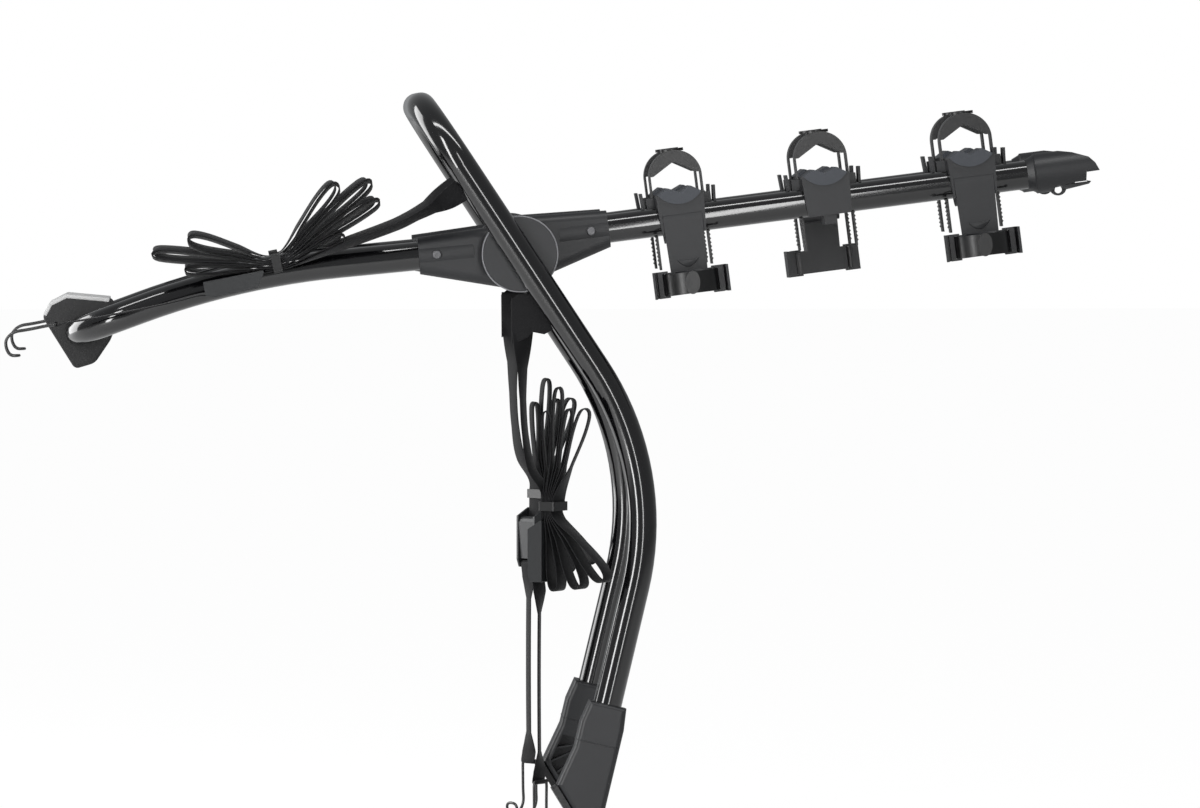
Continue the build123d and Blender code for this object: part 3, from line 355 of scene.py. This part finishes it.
def smooth_run(keys, step=0.0025):
    """Points and across directions on a smooth curve through keys of (point, across)."""
    spots = [Vector(k[0]) for k in keys]
    across = [Vector(k[1]).normalized() for k in keys]
    points, turns = [], []
    for i in range(len(spots) - 1):
        before = spots[i - 1] if i else spots[i] * 2 - spots[i + 1]
        after = spots[i + 2] if i + 2 < len(spots) else spots[i + 1] * 2 - spots[i]
        span = (spots[i + 1] - spots[i]).length
        count = max(2, int(span / step))
        lead_out = (spots[i + 1] - before).normalized() * span / 3
        lead_in = (after - spots[i]).normalized() * span / 3
        handles = spots[i] + lead_out, spots[i + 1] - lead_in
        curve = interpolate_bezier(spots[i], *handles, spots[i + 1], count + 1)
        for j, point in enumerate(curve[:-1]):
            points.append(point)
            turns.append(across[i].lerp(across[i + 1], j / count).normalized())
    points.append(spots[-1])
    turns.append(across[-1])
    return points, turns


def run_length(points):
    """The length of a run of points, in metres."""
    return sum((b - a).length for a, b in zip(points, points[1:]))


def band(name, keys, width=web_width, thick=web_thick, step=0.0025, square=True):
    """A strip of webbing along keys of (point, across); one that isn't square keeps its across direction."""
    points, turns = smooth_run(keys, step)
    mesh = bmesh.new()
    uv_layer = mesh.loops.layers.uv.new("weave")
    rings, along = [], [0.0]
    for i, point in enumerate(points):
        ahead = (points[min(i + 1, len(points) - 1)] - points[max(i - 1, 0)]).normalized()
        side = (turns[i] - ahead * turns[i].dot(ahead)).normalized() if square else turns[i]
        out_of = ahead.cross(side).normalized()
        places = [point + side * u * width + out_of * v * thick for u, v in rounded_section]
        rings.append([mesh.verts.new(place) for place in places])
        if i:
            along.append(along[-1] + (point - points[i - 1]).length)
    size = len(rounded_section)
    for i in range(len(rings) - 1):
        for j in range(size):
            k = (j + 1) % size
            face = mesh.faces.new((rings[i][j], rings[i][k], rings[i + 1][k], rings[i + 1][j]))
            ends = ((j, i), (k, i), (k, i + 1), (j, i + 1))
            for loop, (a, b) in zip(face.loops, ends):
                loop[uv_layer].uv = (rounded_section[a][0] + 0.5, along[b])
    mesh.faces.new(list(reversed(rings[0])))
    mesh.faces.new(rings[-1])
    bmesh.ops.recalc_face_normals(mesh, faces=mesh.faces)
    data = bpy.data.meshes.new(name)
    mesh.to_mesh(data)
    mesh.free()
    made = bpy.data.objects.new(name, data)
    bpy.context.scene.collection.objects.link(made)
    data.materials.append(finishes["webbing"])
    for face in data.polygons:
        face.use_smooth = True
    return made, points


def to_side(keys, side):
    """The same keys on the near side, or mirrored to the far side."""
    if side == "near":
        return keys
    return [(Vector((p[0], -p[1], p[2])), Vector((a[0], -a[1], a[2]))) for p, a in keys]


class StrapFrame:
    """Axes of one strap: along toward the anchor, rise toward the folded hank, wide across the band."""

    def __init__(self, start, along, wide):
        self.start = Vector(start)
        self.along = Vector(along).normalized()
        self.wide = Vector(wide).normalized()
        self.rise = self.wide.cross(self.along)

    def at(self, along, rise=0.0, wide=0.0):
        """The point in metres at three distances in millimetres."""
        return self.start + self.along * along / 1000 + self.rise * rise / 1000 + self.wide * wide / 1000


upper_climb, lower_turn = radians(11.5), radians(-35)
upper = StrapFrame((-0.350, -0.157, -0.0345), (cos(upper_climb), 0, sin(upper_climb)), (0, -1, 0))
lower_rise = Vector((cos(lower_turn), sin(lower_turn), 0))
lower = StrapFrame((0.030, -0.168, -0.363), (0, 0, 1), Vector((0, 0, 1)).cross(lower_rise))
print("strap directions:", upper.rise, lower.rise)

# %% [markdown]
# ## The free stretches
# Each strap starts under a rivet on the inner side of a hoop leg, lies flat there, and turns edge-on as it
# leaves. The upper ones cross from the hoop to the front frame, which folds; they are left fixed where they lie.

# %% Free stretches of the four straps
upper_keys = [
    ((-0.0470, -0.1583, 0.0825), (0.56, 0, -0.83)),
    ((-0.0640, -0.1583, 0.0710), (0.56, 0, -0.83)),
    ((-0.0800, -0.1580, 0.0600), (0.48, 0.45, -0.70)),
    ((-0.0960, -0.1572, 0.0505), (0.20, 0.88, -0.42)),
    ((-0.1140, -0.1570, 0.0410), (0.14, 0.94, -0.30)),
    ((-0.1340, -0.1570, 0.0310), (0.14, 0.94, -0.30)),
    (upper.at(160, 11), (0.10, 0.95, -0.28)),
    (upper.at(99, 0.6), (0, 1, 0)),
    (upper.at(84, 0), (0, 1, 0)),
    (upper.at(66, 0), (0, 1, 0)),
    (upper.at(40, 0), (0, 1, 0)),
]
lower_wide = tuple(lower.wide)
lower_keys = [
    ((0.0030, -0.1608, -0.0480), (1, 0, 0)),
    ((0.0030, -0.1608, -0.0700), (1, 0, 0)),
    ((0.0030, -0.1600, -0.0960), (0.85, 0.50, 0)),
    ((0.0030, -0.1585, -0.1280), (0.45, 0.89, 0)),
    ((0.0035, -0.1585, -0.1620), (0.30, 0.95, 0)),
    ((0.0060, -0.1600, -0.2000), (0.30, 0.95, 0)),
    ((0.0130, -0.1640, -0.2380), (0.40, 0.92, 0)),
    (lower.at(99, -0.6), lower_wide),
    (lower.at(84, 0), lower_wide),
    (lower.at(66, 0), lower_wide),
    (lower.at(40, 0), lower_wide),
]
for side in ("near", "far"):
    for level, keys in (("upper", upper_keys), ("lower", lower_keys)):
        strap, path = band(f"{level}_free_webbing_{side}", to_side(keys, side))
        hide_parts(f"{level}_straps")
        if level == "upper":
            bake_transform(strap)
        else:
            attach(strap, "base_frame")
        print(strap.name, "length", round(run_length(path), 3))

# %% [markdown]
# ## Folded tails
# What is left of each strap comes out of its buckle, is folded to and fro and tied round the middle. The turns
# spring open like a bow, each a narrow loop. The band is modelled as one unbroken strip that goes through the
# tie layer by layer, because loose single loops would show their cut ends.

# %% Hanks
waist, layer, half_tie, turn_count = 84.0, 1.95, 10.0, 7
loop_out = ((0.35, 2.2), (0.70, 4.8), (0.89, 4.7), (0.975, 2.9))


def hank_keys(strap, out_loops, back_loops, lean, fullness):
    """Keys of one folded tail; lean turns each loop a little about its own length, as loose webbing does."""
    wide = strap.wide
    edge_on = Vector((0, wide.y, 0)).normalized()
    keys = [(strap.at(69.5, layer), wide), (strap.at(waist - 6, layer), wide)]
    for row in range(turn_count):
        hand = 1 if row % 2 == 0 else -1
        angle, reach = (out_loops if hand > 0 else back_loops)[row // 2]
        low, high = layer * (row + 1), layer * (row + 2)
        c, s = cos(radians(angle)), sin(radians(angle))
        facing = edge_on if hand > 0 else (edge_on + wide).normalized()
        twist = (facing + strap.rise * 0.22 * lean[row]).normalized()
        edge = waist + hand * half_tie
        keys.append((strap.at(edge, low), wide))
        swell = [(reach * share, half * fullness[row] * hand) for share, half in loop_out]
        for out, half in swell:
            keys.append((strap.at(edge + out * c + half * s, low + out * s - half * c), twist))
        keys.append((strap.at(edge + reach * c, (low + high) / 2 + reach * s), twist))
        for out, half in reversed(swell):
            keys.append((strap.at(edge + out * c - half * s, high + out * s + half * c), twist))
        keys.append((strap.at(edge, high), wide))
    keys.append((strap.at(waist - 4, layer * (turn_count + 1)), wide))
    return keys


upper_out = ((15.0, 72.0), (21.5, 124.0), (30.0, 128.0), (41.0, 98.0))
upper_back = ((171.0, 92.0), (164.0, 128.0), (154.0, 90.0))
lower_out = ((-3.0, 95.0), (4.0, 122.0), (11.0, 100.0), (20.5, 105.0))
lower_back = ((174.0, 84.0), (156.0, 88.0), (138.0, 96.0))
upper_fullness = (0.75, 0.8, 0.85, 0.85, 1.05, 1.25, 1.3)
lower_fullness = (0.75, 1.1, 0.95, 1.45, 0.8, 1.5, 1.4)
leans = {"near": (0.6, 0.8, 0.9, 0.7, 1.0, 0.75, 0.85), "far": (0.8, 0.6, 0.7, 1.0, 0.8, 0.9, 0.7)}
for side in ("near", "far"):
    for level, strap, out_loops, back_loops, fullness, body in (
        ("upper", upper, upper_out, upper_back, upper_fullness, "front_frame"),
        ("lower", lower, lower_out, lower_back, lower_fullness, "base_frame"),
    ):
        keys = hank_keys(strap, out_loops, back_loops, leans[side], fullness)
        bundle, path = band(f"{level}_folded_tail_{side}", to_side(keys, side), square=False)
        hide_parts(f"{level}_hank_{side}")
        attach(bundle, body)
        print(bundle.name, "band length", round(run_length(path), 2), "faces", len(bundle.data.polygons))

# %% [markdown]
# ## Leads
# A short webbing joins each buckle to its wire hook, with a sewn loop round the buckle's bar and one round the
# wire. The band is drawn round both, so its ends close on themselves as stitched loops do.

# %% Leads from the buckles to the hooks
channel, bar_height, bar_place = 3.37, 12.6, 4.2
bar_level = channel - bar_height
bar_turns = ((200, 2.95), (130, 2.85), (60, 2.85), (0, 2.85), (-60, 2.85), (-120, 2.85))
wire_turns = ((-110, 2.55), (-180, 2.45), (-250, 2.45), (-320, 2.5))
lead_rows = (("upper", upper, 168.0, 2.0, "front_frame"), ("lower", lower, 222.0, 1.0, "base_frame"))


def lead_keys(strap, length, bow):
    """Once round the bar, along to the hook and once round its wire."""
    wide = strap.wide
    thin_side = Vector((0.13, wide.y, 0)).normalized()
    keys = []
    for angle, r in bar_turns:
        keys.append((strap.at(bar_place + r * cos(radians(angle)), bar_level + r * sin(radians(angle))), wide))
    for share in (0.05, 0.16, 0.32, 0.5, 0.68, 0.85, 0.95):
        drop = -bow * 4 * share * (1 - share) - 0.6
        turned = thin_side if 0.1 < share < 0.9 else wide
        keys.append((strap.at(-share * length, bar_level + drop), turned))
    for angle, r in wire_turns:
        keys.append((strap.at(-length + r * cos(radians(angle)), bar_level + r * sin(radians(angle))), wide))
    return keys


for side in ("near", "far"):
    for level, strap, length, bow, body in lead_rows:
        keys = to_side(lead_keys(strap, length, bow), side)
        lead, path = band(f"{level}_lead_{side}", keys, step=0.0012)
        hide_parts(f"{level}_leads")
        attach(lead, body)
        print(lead.name, "length", round(run_length(path), 3))

# %% [markdown]
# ## Moulded blocks
# The next pieces all begin as a flat outline. It is extruded to its thickness and its rims are bevelled. Three
# short functions do that, and a fourth bends closed wires for the hooks and for the beads on the feet.

# %% Helpers for moulded blocks
def flat_shape(name, corners):
    """A flat face with the given corners, in edit mode with all of it selected."""
    bpy.ops.object.select_all(action="DESELECT")
    bpy.ops.mesh.primitive_circle_add(vertices=len(corners), radius=0.05, fill_type="NGON")
    made = bpy.context.object
    made.name = name
    for vertex, corner in zip(made.data.vertices, corners):
        vertex.co = corner
    bpy.ops.object.mode_set(mode="EDIT")
    bpy.ops.mesh.select_all(action="SELECT")
    return made


def extrude_shape(run):
    """Gives the flat shape in edit mode its thickness and leaves edit mode."""
    bpy.ops.mesh.extrude_region_move(TRANSFORM_OT_translate={"value": (0, run, 0)})
    bpy.ops.mesh.select_all(action="SELECT")
    bpy.ops.mesh.normals_make_consistent(inside=False)
    bpy.ops.object.mode_set(mode="OBJECT")


def closed_wire(name, route, kind, radius, roundness):
    """A closed round wire through the route's points, turned into a mesh."""
    wire = bpy.data.curves.new(name, "CURVE")
    wire.dimensions = "3D"
    line = wire.splines.new(kind)
    line.points.add(len(route) - 1)
    for spot, place in zip(line.points, route):
        spot.co = (*place, 1)
    line.use_cyclic_u = True
    if kind == "NURBS":
        line.order_u, line.resolution_u = 3, 6
    wire.bevel_depth, wire.bevel_resolution = radius, roundness
    made = bpy.data.objects.new(name, wire)
    bpy.context.scene.collection.objects.link(made)
    bpy.ops.object.select_all(action="DESELECT")
    made.select_set(True)
    bpy.context.view_layer.objects.active = made
    bpy.ops.object.convert(target="MESH")
    bpy.ops.object.shade_smooth()
    return bpy.context.object


def settle(piece, body, slot, *replaced):
    """Puts the piece's place into its mesh, gives it a finish and lets it ride."""
    bpy.ops.object.select_all(action="DESELECT")
    piece.select_set(True)
    bpy.context.view_layer.objects.active = piece
    bpy.ops.object.transform_apply(location=True, rotation=True, scale=True)
    piece.data.materials.clear()
    piece.data.materials.append(finishes[slot])
    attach(piece, body)
    if replaced:
        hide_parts(*replaced)


def apply_modifier(piece, kind, **values):
    """Adds a modifier with these values and applies it at once."""
    modifier = piece.modifiers.new(kind.lower(), kind)
    for key, value in values.items():
        setattr(modifier, key, value)
    bpy.ops.object.select_all(action="DESELECT")
    piece.select_set(True)
    bpy.context.view_layer.objects.active = piece
    bpy.ops.object.modifier_apply(modifier=modifier.name)


def mirrored_copy(piece, name):
    """The same mesh on the far side, with its faces turned outwards again."""
    twin = bpy.data.objects.new(name, piece.data.copy())
    bpy.context.scene.collection.objects.link(twin)
    twin.data.transform(Matrix.Scale(-1, 4, Vector((0, 1, 0))))
    twin.data.flip_normals()
    return twin


# %% [markdown]
# ## Sewn patches at the lower anchors
# Below each hub disc, the lower strap comes out of a folded patch of the same webbing. The folds make it wide
# at the top and drawn in below, so it is a flat outline with some thickness instead of a swept band.

# %% Lower anchor patches
patch_outline = (
    (-10.0, -51.0), (-1.0, -43.5), (11.0, -43.5), (35.0, -68.0), (36.5, -84.0),
    (27.0, -89.0), (14.0, -86.5), (8.0, -93.0), (-9.5, -100.0),
)
patch_y = -0.1627
patch = flat_shape("lower_anchor_patch_near", [(x / 1000, patch_y, z / 1000) for x, z in patch_outline])
bpy.ops.mesh.inset(thickness=0.002)
bpy.ops.mesh.select_all(action="SELECT")
extrude_shape(-0.0016)
apply_modifier(patch, "BEVEL", width=0.0005, segments=2, limit_method="ANGLE", angle_limit=radians(40))
weave_map = patch.data.uv_layers.new(name="weave")
for loop in patch.data.loops:
    place = patch.data.vertices[loop.vertex_index].co
    weave_map.data[loop.index].uv = (place.x / web_width, place.z)
bpy.ops.object.shade_smooth_by_angle(angle=radians(40))
far_patch = mirrored_copy(patch, "lower_anchor_patch_far")
for piece in (patch, far_patch):
    settle(piece, "base_frame", "webbing", "lower_straps")
print("patches", len(patch.data.polygons), "faces each")

# %% [markdown]
# ## Foam pads
# The pads rest on the boot lid. Each is one block of black foam at the front bar, cut to the outline that shows
# from the side. A foam block has no sharp edge, so its rims get a wide, round bevel.

# %% Two trunk pads
bar = Vector((-0.4887, 0, -0.0869))
tilt = radians(32)
toward_lid, down_face = Vector((-cos(tilt), 0, -sin(tilt))), Vector((sin(tilt), 0, -cos(tilt)))
pad_outline = (
    (26.7, -34.7), (12, -43.6), (-8, -42), (-47.5, -12),
    (-48.5, -2), (-27, 26), (4, 39.8), (26.7, 33.5),
)
pad_start, pad_length = Vector((0, -0.009, 0)), 0.060
corners = [bar + pad_start + toward_lid * a / 1000 + down_face * b / 1000 for a, b in pad_outline]
pad = flat_shape("trunk_pad_near", corners)
extrude_shape(-pad_length)
apply_modifier(pad, "BEVEL", width=0.0075, segments=5, limit_method="ANGLE", angle_limit=radians(20))
bpy.ops.object.shade_smooth_by_angle(angle=radians(40))
far_pad = mirrored_copy(pad, "trunk_pad_far")
for piece in (pad, far_pad):
    settle(piece, "front_frame", "black_foam", "trunk_pads")
print("pads", len(pad.data.polygons), "faces each")

# %% [markdown]
# ## Painted highlights on the pads
# Seen from the side, each pad's upper rim is a pale line where its top face catches the light. That highlight is
# painted: a pale ribbon a few millimetres thick, laid over the black block so that its edge shows.

# %% Painted highlight strips on top of the pads
highlight_strip_outline = (
    (-48.3, -13.0), (-9.5, -42.6), (11.5, -44.4), (24.0, -37.0),
    (22.5, -33.0), (10.5, -40.0), (-8.0, -38.0), (-45.5, -9.5),
)
strip_proud = 0.0004
corners = [bar + pad_start + toward_lid * a / 1000 + down_face * b / 1000 for a, b in highlight_strip_outline]
pale = flat_shape("pad_top_highlight_strip_near", [corner + Vector((0, strip_proud, 0)) for corner in corners])
extrude_shape(-pad_length - 2 * strip_proud)
apply_modifier(pale, "BEVEL", width=0.0012, segments=3, limit_method="ANGLE", angle_limit=radians(30))
bpy.ops.object.shade_smooth_by_angle(angle=radians(40))
far_pale = mirrored_copy(pale, "pad_top_highlight_strip_far")
for piece in (pale, far_pale):
    settle(piece, "front_frame", "black_foam", "trunk_pads")
    # The pale finish paints the highlight on each pad's top rim.
    piece.data.materials[0] = finishes["pad_top_highlight_paint"]

# %% [markdown]
# ## Painted highlights on the rims of the hub discs
# The disc under each leg has a rim that catches the light as a thin pale line. That highlight is painted here: a
# torus of a few hundred faces in a pale finish, pressed half into the disc's edge, gives the same line at any
# angle.

# %% Hub rims with a painted highlight
hub_r, rim_r, rim_depth = 0.0425, 0.0009, 0.0012
for side, hand in (("near", -1), ("far", 1)):
    low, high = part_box(f"hub_core_{side}")
    face = low[1] if hand < 0 else high[1]
    bpy.ops.object.select_all(action="DESELECT")
    bpy.ops.mesh.primitive_torus_add(
        location=(0, face - hand * rim_depth, 0), rotation=(radians(90), 0, 0),
        major_radius=hub_r - rim_r, minor_radius=rim_r, major_segments=96, minor_segments=8,
    )
    rim = bpy.context.object
    rim.name = f"hub_rim_highlight_{side}"
    bpy.ops.object.shade_smooth()
    settle(rim, "base_frame", "hub_plastic")
    # The pale finish paints the rim's highlight.
    rim.data.materials[0] = finishes["rim_highlight_paint"]
print("hub rims at", round(face, 4))

# %% [markdown]
# ## Crescents on the anti-sway legs
# A raised half-moon near the lower end of each leg stiffens it. It is a flat outline between two arcs, extruded
# a little more than a millimetre, with its rim rounded.

# %% Crescents
arm_tilt = radians(7.3)
along_arm = Vector((cos(arm_tilt), 0, sin(arm_tilt)))
down_leg = Vector((sin(arm_tilt), 0, -cos(arm_tilt)))
crescent_half, crescent_sag, crescent_hollow, crescent_top = 12.5, 9.0, 1.5, 44.0
leg_face, crescent_thick = 0.1066, 0.0016
swings = [joint for joint in frame["record"]["behaviour"]["joints"] if joint["name"].endswith("_swing")]
pins = {joint["name"]: joint["pos_m"] for joint in swings}
for key in ("near_1", "near_3", "far_2"):
    hand = -1 if key.startswith("near") else 1
    pin = Vector(pins[f"sway_leg_{key}_swing"])
    outline = []
    for step in range(13):
        share = step / 6 - 1
        outline.append((share * crescent_half, crescent_top + crescent_sag * (1 - share ** 2)))
    for step in range(11):
        share = 1 - (step + 1) / 6
        outline.append((share * crescent_half, crescent_top + crescent_hollow * (1 - share ** 2)))
    middle = Vector((pin.x, hand * leg_face, pin.z))
    corners = [middle + along_arm * a / 1000 + down_leg * d / 1000 for a, d in outline]
    crescent = flat_shape(f"leg_crescent_{key}", corners)
    extrude_shape(hand * crescent_thick)
    apply_modifier(crescent, "BEVEL", width=0.0007, segments=3, limit_method="ANGLE", angle_limit=radians(50))
    bpy.ops.object.shade_smooth_by_angle(angle=radians(50))
    settle(crescent, f"sway_leg_{key}", "hub_plastic")
print("crescents", len(crescent.data.polygons), "faces each")

# %% [markdown]
# ## Wire hooks
# Each hook is one loop of coated wire, bent over at its end. The solid has plain runs and small arcs. Real wire
# is bent round a former, so its sides flow into the tip. A closed smooth curve with a round bevel does that.

# %% Wire hooks
hook_line = (
    (0, 0, 13.0), (-16, 0, 12.6), (-34, 0, 12.4), (-47, -1.0, 12.2),
    (-57.5, 4.5, 11.6), (-60, 14.0, 10.8), (-57.0, 24.5, 9.8), (-47, 26.0, 8.6),
)
hook_r = 0.0016
for side in ("near", "far"):
    for level, strap, length, _, body in lead_rows:
        across_bar = [strap.at(-length, bar_level, wide) for wide in (-8, 0, 8)]
        one = [strap.at(x - length, bar_level - rise, half) for x, rise, half in hook_line]
        other = [strap.at(x - length, bar_level - rise, -half) for x, rise, half in reversed(hook_line)]
        keys = to_side([(point, (0, 1, 0)) for point in across_bar + one + other], side)
        hook = closed_wire(f"{level}_wire_hook_{side}", [point for point, _ in keys], "NURBS", hook_r, 3)
        settle(hook, body, "hook_wire", f"{level}_hooks")
print("hooks", len(hook.data.polygons), "faces each")

# %% [markdown]
# ## Seam beads on the feet
# A faint line runs round each foot a little below its mouth. It is a thin closed wire that follows the foot's
# rounded section, half sunk in the surface.

# %% Foot seams
shin_tilt = radians(13.4)
knee, mouth = Vector((0.1572, -0.1863, -0.2384)), Vector((0.0956, -0.1954, -0.4972))
seam_drop, half_wide, toe_edge, heel_edge, corner_r = 0.045, 0.0231, 0.0253, -0.0228, 0.006
bead_r, steps_per_corner = 0.0006, 5
down_shin = (mouth - knee).normalized()
toe_side = Vector((-cos(shin_tilt), 0, sin(shin_tilt)))
toe_side = (toe_side - down_shin * toe_side.dot(down_shin)).normalized()
inward = down_shin.cross(toe_side)
centres = (
    (toe_edge - corner_r, half_wide - corner_r, 0),
    (heel_edge + corner_r, half_wide - corner_r, 90),
    (heel_edge + corner_r, corner_r - half_wide, 180),
    (toe_edge - corner_r, corner_r - half_wide, 270),
)
ring = []
for a, b, start in centres:
    for step in range(steps_per_corner):
        angle = radians(start + step * 90 / (steps_per_corner - 1))
        out_toe, out_side = a + corner_r * cos(angle), b + corner_r * sin(angle)
        ring.append(mouth + down_shin * seam_drop + toe_side * out_toe + inward * out_side)
for side in ("near", "far"):
    keys = to_side([(point, (0, 1, 0)) for point in ring], side)
    seam = closed_wire(f"foot_seam_{side}", [point for point, _ in keys], "POLY", bead_r, 2)
    settle(seam, "base_frame", "hub_plastic")
print("foot seams at", seam_drop, "below the collar's mouth")
